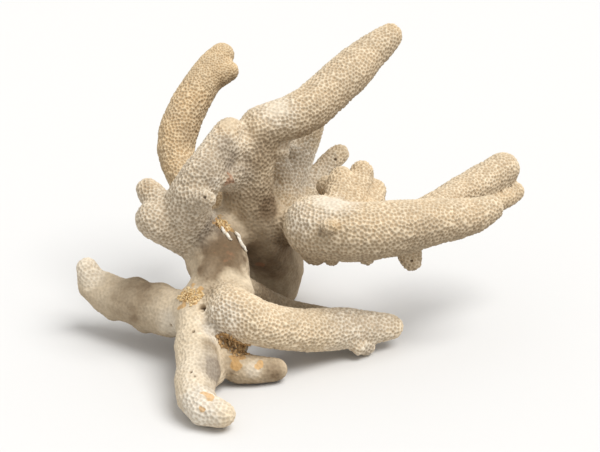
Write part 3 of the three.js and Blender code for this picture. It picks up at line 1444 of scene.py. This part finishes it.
@dataclass
class Limbs:
    """Parts the finished skin along its forks into one closed piece for each limb."""

    names: list[str]
    finishes: dict[Slot, bpy.types.Material]
    # In radii of a borer's hole: the skin that is looked at, the hole's rim, and its wall's width.
    bore_reach: float = 1.6
    bore_rim: float = 1.5
    bore_wall: float = 0.9
    # Every trait in the middle of a closed fork.
    cap_level: float = 0.5

    def bore(self, skin: Skin) -> None:
        """Sinks the borers' holes.

        Args:
            skin: The skin, changed in place.
        """
        for hole in BORES:
            centre = hole.spot.point()
            nearest = int(np.linalg.norm(skin.places - centre, axis=1).argmin())
            away = np.linalg.norm(skin.places - skin.places[nearest], axis=1)
            near = np.nonzero(away < hole.radius * self.bore_reach)[0]
            outward = mesh_normals(skin)[near].mean(0)
            outward /= np.linalg.norm(outward)
            inside = eased(np.clip((self.bore_rim - away[near] / hole.radius) / self.bore_wall, 0, 1))
            skin.places[near] -= outward * (inside * hole.depth)[:, None]
            # The hole is painted as pit and grime too: painted shade inside it.
            for trait in (Trait.PIT, Trait.GRIME):
                skin.traits[trait][near] = np.maximum(skin.traits[trait][near], inside)

    def caps(self, faces: np.ndarray, places: np.ndarray) -> tuple[np.ndarray, np.ndarray]:
        """Closes a limb where it is parted from its neighbours.

        Args:
            faces: The limb's quads.
            places: The limb's vertices.

        Returns:
            One new vertex for each opening, and the triangles to it.
        """
        start = faces.ravel().astype(np.int64)
        end = np.roll(faces, -1, axis=1).ravel().astype(np.int64)
        count = len(places)
        keys = start * count + end
        twins = end * count + start
        open_edge = ~np.isin(keys, twins)
        start, end = start[open_edge], end[open_edge]
        group = {int(v): int(v) for v in np.concatenate([start, end])}

        def root(v: int) -> int:
            """The first vertex of a vertex's opening."""
            while group[v] != v:
                group[v] = group[group[v]]
                v = group[v]
            return v

        for a, b in zip(start.tolist(), end.tolist()):
            group[root(a)] = root(b)
        roots = np.array([root(int(v)) for v in start])
        middles, triangles = [], []
        for label in np.unique(roots):
            rim = roots == label
            middle = count + len(middles)
            middles.append(places[start[rim]].mean(0))
            triangles.append(np.stack([end[rim], start[rim], np.full(rim.sum(), middle)], axis=1))
        return np.array(middles), np.concatenate(triangles)

    def build(self, skin: Skin) -> None:
        """Makes every limb.

        Args:
            skin: The fine, pitted skin.
        """
        self.bore(skin)
        skin.places[:, 2] = np.maximum(skin.places[:, 2], 0)
        normals = mesh_normals(skin)
        for number, name in enumerate(self.names):
            quads = skin.quads[skin.owners == number]
            used, faces = np.unique(quads, return_inverse=True)
            faces = faces.reshape(-1, 4)
            middles, triangles = self.caps(faces, skin.places[used])
            places = np.concatenate([skin.places[used], middles])
            piece = mesh_object(f"coral_{name}", places, faces, triangles)
            mesh = piece.data
            for trait in Trait:
                levels = np.concatenate([skin.traits[trait][used], np.full(len(middles), self.cap_level)])
                layer = mesh.attributes.new(trait.value, "FLOAT", "POINT")
                layer.data.foreach_set("value", levels.astype(np.float32))
            first, second, third = (places[triangles[:, corner]] for corner in range(3))
            flat = unit(np.cross(second - first, third - first))
            corners = np.concatenate([normals[used][faces.ravel()], np.repeat(flat, 3, axis=0)])
            mesh.polygons.foreach_set("use_smooth", np.ones(len(mesh.polygons), bool))
            mesh.normals_split_custom_set(corners.tolist())
            look = LOOKS[name]
            mesh.materials.append(self.finishes[look.slot])
            finish_piece(piece, look.slot, name)


def unit(vectors: np.ndarray) -> np.ndarray:
    """Rows of vectors at a length of 1."""
    return vectors / np.maximum(np.linalg.norm(vectors, axis=1, keepdims=True), TINY)


def mesh_normals(skin: Skin) -> np.ndarray:
    """The smooth normal at each vertex of a skin.

    Args:
        skin: The skin.

    Returns:
        Unit vectors.
    """
    a, b, c, d = (skin.places[skin.quads[:, i]] for i in range(4))
    across = np.cross(c - a, d - b)
    total = np.zeros_like(skin.places)
    for i in range(4):
        for axis in range(3):
            total[:, axis] += np.bincount(skin.quads[:, i], across[:, axis], len(total))
    return unit(total)


# --------------------------------------------------------------------------- crusts, tubes and fibres


@dataclass(frozen=True)
class Crust:
    """A plain mottled finish for what has grown or dried on the coral."""

    name: str
    light: str
    dark: str
    mottle_size: float = 1.3 * MM
    mottle_edge: tuple[float, float] = (0.35, 0.65)
    layers: float = 4.0
    surface: Surface = Surface(roughness=0.9, gloss=0.5, relief=0.6, grain=0.3 * MM)

    def build(self) -> bpy.types.Material:
        """Makes the material.

        Returns:
            The material.
        """
        made, graph = bare_material(self.name)
        place = graph.out(graph.node("ShaderNodeTexCoord"), "Object")
        mottle = graph.noise(place, self.mottle_size, self.layers)
        colour = graph.mix(graph.ramp(mottle, *self.mottle_edge), srgb(self.light), srgb(self.dark))
        graph.surface(colour, mottle, self.surface)
        return made


@dataclass
class Strands:
    """Thin tubes swept along wandering paths by Geometry Nodes."""

    name: str
    finish: bpy.types.Material
    radius: float
    wobble: float
    wobble_size: float = 2.5 * MM
    step: float = 0.45 * MM
    sides: int = 8
    # A tube's radius at its ends, and how it grows along it, as shares of the radius.
    end_width: float = 0.4
    belly: float = 2.4

    def tree(self) -> bpy.types.GeometryNodeTree:
        """Builds the node tree.

        Returns:
            The tree, with a named input for each size.
        """
        graph, size = geometry_tree(self.name, "Paths", "Tubes", ("Radius", "Wobble"))
        place = graph.out(graph.node("GeometryNodeInputPosition"))
        curve = graph.out(graph.node("GeometryNodeMeshToCurve", None, Mesh=size["Paths"]))
        settings = {"spline_type": "CATMULL_ROM"}
        curve = graph.out(graph.node("GeometryNodeCurveSplineType", settings, Curve=curve))
        settings = {"mode": "LENGTH"}
        curve = graph.out(graph.node("GeometryNodeResampleCurve", settings, Curve=curve, Length=self.step))
        shift = graph.shift(place, self.wobble_size, size["Wobble"] * 2.0)
        curve = graph.out(graph.node("GeometryNodeSetPosition", None, Geometry=curve, Offset=shift))
        along = graph.out(graph.node("GeometryNodeSplineParameter"), "Factor")
        thick = (along * (1.0 - along) * self.belly + self.end_width) * size["Radius"]
        ring = graph.node("GeometryNodeCurvePrimitiveCircle", None, Resolution=self.sides, Radius=1.0)
        sweep = graph.node(
            "GeometryNodeCurveToMesh",
            None,
            Curve=curve,
            Profile_Curve=graph.out(ring),
            Scale=thick,
            Fill_Caps=True,
        )
        graph.close(graph.out(sweep), size["Finish"])
        return graph.tree

    def build(self, paths: list[np.ndarray]) -> bpy.types.Object:
        """Sweeps the tubes.

        Args:
            paths: The points of each path.

        Returns:
            The piece.
        """
        mesh = bpy.data.meshes.new(self.name)
        edges, count = [], 0
        for path in paths:
            edges += [(count + i, count + i + 1) for i in range(len(path) - 1)]
            count += len(path)
        mesh.from_pydata(np.concatenate(paths).tolist(), edges, [])
        carrier = place_object(self.name, mesh)
        modifier = carrier.modifiers.new(self.name, "NODES")
        modifier.node_group = self.tree()
        set_inputs(modifier, {"Radius": self.radius, "Wobble": self.wobble, "Finish": self.finish})
        return place_object(self.name, evaluated(carrier))


@dataclass
class Flakes:
    """Small broken plates of crust, scattered over a patch of the skin by Geometry Nodes."""

    name: str
    finish: bpy.types.Material
    spots: tuple[tuple[Spot, float], ...]
    size: float = 1.3 * MM
    gap: float = 0.9 * MM
    seed: int = 3
    most_per_area: float = 4.0e6
    # A chip is a ball of radius 1, made rough, then flattened; its scale sets its real size.
    chip_shape: tuple[float, float, float] = (0.8, 0.5, 0.3)
    chip_rough: float = 1.3
    chip_lump: float = 1 / 1.1
    chip_luck: tuple[float, float] = (0.35, 1.2)
    chip_seed: int = 9
    # How far a chip leans and turns, in radians.
    tilt: float = 0.5
    turn: float = 6.3
    # How the edge of a patch of crust wanders.
    fray_size: float = 5 * MM
    fray: float = 0.25

    def tree(self) -> bpy.types.GeometryNodeTree:
        """Builds the node tree.

        Returns:
            The tree, with a named input for each size.
        """
        graph, size = geometry_tree(self.name, "Patch", "Flakes", ("Size", "Gap"), ("Seed",))
        scatter = graph.node(
            "GeometryNodeDistributePointsOnFaces",
            {"distribute_method": "POISSON"},
            Mesh=size["Patch"],
            Distance_Min=size["Gap"],
            Density_Max=self.most_per_area,
            Seed=size["Seed"],
        )
        chip = graph.out(graph.node("GeometryNodeMeshIcoSphere", None, Radius=1.0, Subdivisions=2))
        place = graph.out(graph.node("GeometryNodeInputPosition"))
        rough = graph.shift(place, self.chip_lump, self.chip_rough)
        flat = graph.vector("MULTIPLY", graph.vector("ADD", place, rough), self.chip_shape)
        chip = graph.out(graph.node("GeometryNodeSetPosition", None, Geometry=chip, Position=flat))
        turn = graph.node(
            "FunctionNodeRandomValue",
            {"data_type": "FLOAT_VECTOR"},
            Min=(-self.tilt, -self.tilt, 0.0),
            Max=(self.tilt, self.tilt, self.turn),
        )
        spin = graph.node(
            "FunctionNodeRotateRotation",
            {"rotation_space": "LOCAL"},
            in_0=graph.out(scatter, "Rotation"),
            in_1=graph.out(turn),
        )
        placed = graph.node(
            "GeometryNodeInstanceOnPoints",
            None,
            Points=graph.out(scatter, "Points"),
            Instance=chip,
            Rotation=graph.out(spin),
            Scale=graph.luck(*self.chip_luck, self.chip_seed) * size["Size"],
        )
        graph.close(graph.out(placed), size["Finish"])
        return graph.tree

    def build(self, skin: Skin) -> bpy.types.Object:
        """Scatters the flakes.

        Args:
            skin: The skin that they lie on.

        Returns:
            The piece.
        """
        middles = skin.places[skin.quads].mean(1)
        waves = Weathering(seed=self.seed).waves(middles, self.fray_size) * self.fray
        chosen = np.zeros(len(middles), bool)
        for spot, radius in self.spots:
            chosen |= np.linalg.norm(middles - spot.point(), axis=1) / radius + waves < 1
        used, faces = np.unique(skin.quads[chosen], return_inverse=True)
        carrier = mesh_object(self.name, skin.places[used], faces.reshape(-1, 4))
        modifier = carrier.modifiers.new(self.name, "NODES")
        modifier.node_group = self.tree()
        values = {"Size": self.size, "Gap": self.gap, "Seed": self.seed, "Finish": self.finish}
        set_inputs(modifier, values)
        return place_object(self.name, evaluated(carrier))


@dataclass
class Guests:
    """What else has settled on the coral: worm tubes, dried fibres and chipped crusts."""

    skin: Skin
    seed: int = 21
    tube_radius: float = 0.8 * MM
    tube_lift: float = 0.5 * MM
    fibre_radius: float = 0.5 * MM
    hanging: int = 54
    tangled: int = 16

    def on_skin(self, spot: Spot) -> np.ndarray:
        """The point of the skin nearest to a place, lifted off it as a tube is.

        Args:
            spot: The place.

        Returns:
            The point.
        """
        nearest = int(np.linalg.norm(self.skin.places - spot.point(), axis=1).argmin())
        return self.skin.places[nearest] + mesh_normals(self.skin)[nearest] * self.tube_lift

    def worm_tubes(self) -> None:
        """Lays the white tubes in the crevice beside the column."""
        lime = Crust("worm_tube_lime", "ece6da", "cfc3ad").build()
        runs = (
            ((0.58, 0.55, 0.91), (0.66, 0.50, 0.86), (0.74, 0.47, 0.81)),
            ((0.80, 0.55, 0.80), (0.88, 0.52, 0.74), (0.95, 0.50, 0.68)),
            ((0.76, 0.58, 0.84), (0.86, 0.57, 0.79)),
        )
        paths = [np.array([self.on_skin(Spot("column", *place)) for place in run]) for run in runs]
        piece = Strands("worm_tubes", lime, self.tube_radius, wobble=0.8 * MM).build(paths)
        finish_piece(piece, Slot.BARE)

    def fibres(self) -> None:
        """Hangs the dried fibres between the low finger and the small foot."""
        dry = Crust("dry_fibre", "d9b989", "9a784c").build()
        random = np.random.default_rng(self.seed)
        top = Spot("small_foot", 0.30, 0.66, 1.25).point()
        foot = Spot("small_foot", 0.36, 0.52, 0.75).point()
        # In millimetres; the taper and the two shapes are shares.
        fan, stray, dip, bow, taper = 5.5, 2, 1, 1.6, 0.9
        nest, reach, kink = 5, 4, 1
        nest_shape, reach_shape = np.array([1, 0.5, 0.8]), np.array([1.4, 0.4, 0.5])
        paths = []
        for _ in range(self.hanging):
            side = random.uniform(-fan, fan) * MM
            deep, high = random.uniform(-stray, stray) * MM, random.uniform(-dip, stray) * MM
            start = top + np.array([side, deep, high])
            deep, high = random.uniform(-stray, stray) * MM, random.uniform(-stray, stray) * MM
            end = foot + np.array([side * taper, deep, high])
            middle = (start + end) / 2 + random.uniform(-bow, bow, 3) * MM
            paths.append(np.array([start, middle, end]))
        for _ in range(self.tangled):
            start = (top + foot) / 2 + random.uniform(-nest, nest, 3) * MM * nest_shape
            end = start + random.uniform(-reach, reach, 3) * MM * reach_shape
            middle = (start + end) / 2 + random.uniform(-kink, kink, 3) * MM
            paths.append(np.array([start, middle, end]))
        piece = Strands("dry_fibres", dry, self.fibre_radius, wobble=0.9 * MM).build(paths)
        finish_piece(piece, Slot.WEATHERED)

    def crusts(self) -> None:
        """Lays the chipped crusts."""
        chipped = Crust("chipped_crust", "e2c99a", "b8925a").build()
        spots = (
            (Spot("column", 0.12, 0.20, 0.42), 3.5 * MM),
            (Spot("column", 0.24, 0.13, 0.44), 3.5 * MM),
            (Spot("column", 0.60, 0.60, 0.92), 3.0 * MM),
        )
        finish_piece(Flakes("chipped_crust", chipped, spots).build(self.skin), Slot.BARE)
        brown = Crust("brown_crust", "cfaa76", "8c6c46").build()
        spots = (
            (Spot("small_foot", 0.26, 0.60, 0.92), 6.0 * MM),
            (Spot("small_foot", 0.40, 0.45, 0.80), 4.5 * MM),
        )
        flakes = Flakes("brown_crust", brown, spots, size=1.2 * MM, gap=0.8 * MM)
        finish_piece(flakes.build(self.skin), Slot.WEATHERED)

    def build(self) -> None:
        """Makes every guest."""
        self.worm_tubes()
        self.fibres()
        self.crusts()


# --------------------------------------------------------------------------- camera, floor and light


@dataclass
class Studio:
    """The camera, the pale floor and the soft light."""

    aim: tuple[float, float, float] = (-1.9 * MM, 6.2 * MM, 47 * MM)
    distance: float = 520 * MM
    elevation: float = math.radians(20)
    lens: float = 74.3
    nearest: float = 10 * MM
    floor_size: float = 6.0
    floor_gap: float = 0.02 * MM
    floor_colour: str = "dad9d7"
    floor_roughness: float = 0.9
    key_strength: float = 2.75
    key_softness: float = math.radians(40)
    key_from: tuple[float, float, float] = (0.45, -0.24, 1.0)
    sky_strength: float = 0.66
    sky_colour: str = "ffffff"

    def camera(self) -> None:
        """Sets the camera."""
        lens = bpy.data.cameras.new("camera")
        lens.lens = self.lens
        lens.clip_start = self.nearest
        camera = place_object("camera", lens)
        away = Vector((0, -math.cos(self.elevation), math.sin(self.elevation)))
        aim = Vector(self.aim)
        camera.location = aim + away * self.distance
        camera.rotation_euler = (-away).to_track_quat("-Z", "Y").to_euler()
        bpy.context.scene.camera = camera

    def floor(self) -> None:
        """Lays the floor."""
        half = self.floor_size / 2
        corners = ((-half, -half), (half, -half), (half, half), (-half, half))
        places = np.array([(*corner, -self.floor_gap) for corner in corners])
        floor = mesh_object("floor", places, np.array([[0, 1, 2, 3]]))
        finish = bpy.data.materials.new("pale_floor")
        finish.use_nodes = True
        shader = finish.node_tree.nodes["Principled BSDF"]
        shader.inputs["Base Color"].default_value = srgb(self.floor_colour)
        shader.inputs["Roughness"].default_value = self.floor_roughness
        floor.data.materials.append(finish)

    def key(self) -> None:
        """Hangs the soft key light far above the coral."""
        light = bpy.data.lights.new("key", "SUN")
        light.angle = self.key_softness
        light.energy = self.key_strength
        lamp = place_object("key", light)
        lamp.rotation_euler = (-Vector(self.key_from)).to_track_quat("-Z", "Y").to_euler()
        lamp.location = self.key_from

    def build(self) -> None:
        """Sets everything that isn't the coral."""
        self.camera()
        self.floor()
        self.key()
        world = bpy.data.worlds.new("sky")
        world.use_nodes = True
        background = world.node_tree.nodes["Background"]
        background.inputs["Color"].default_value = srgb(self.sky_colour)
        background.inputs["Strength"].default_value = self.sky_strength
        bpy.context.scene.world = world
        bpy.context.scene.view_settings.view_transform = "Standard"


def main() -> None:
    """Builds the coral and its studio."""
    logging.basicConfig(level=logging.INFO, format="%(name)s: %(message)s")
    Studio().build()
    bare = Skeleton()
    finishes = {
        Slot.BARE: bare.build(),
        Slot.TINTED: replace(bare, name="tinted_coral").build(),
        Slot.WEATHERED: replace(bare, name="weathered_coral").build(),
    }
    names = list(LOOKS)
    fusion = Fusion(names)
    skin = fusion.build()
    Weathering().dress(skin, fusion)
    log.info("skin: %d quads", len(skin.quads))
    fine = PolypRelief().press(skin, finishes[Slot.BARE])
    log.info("pitted skin: %d quads", len(fine.quads))
    Limbs(names, finishes).build(fine)
    Guests(skin).build()


if __name__ == "__main__":
    main()
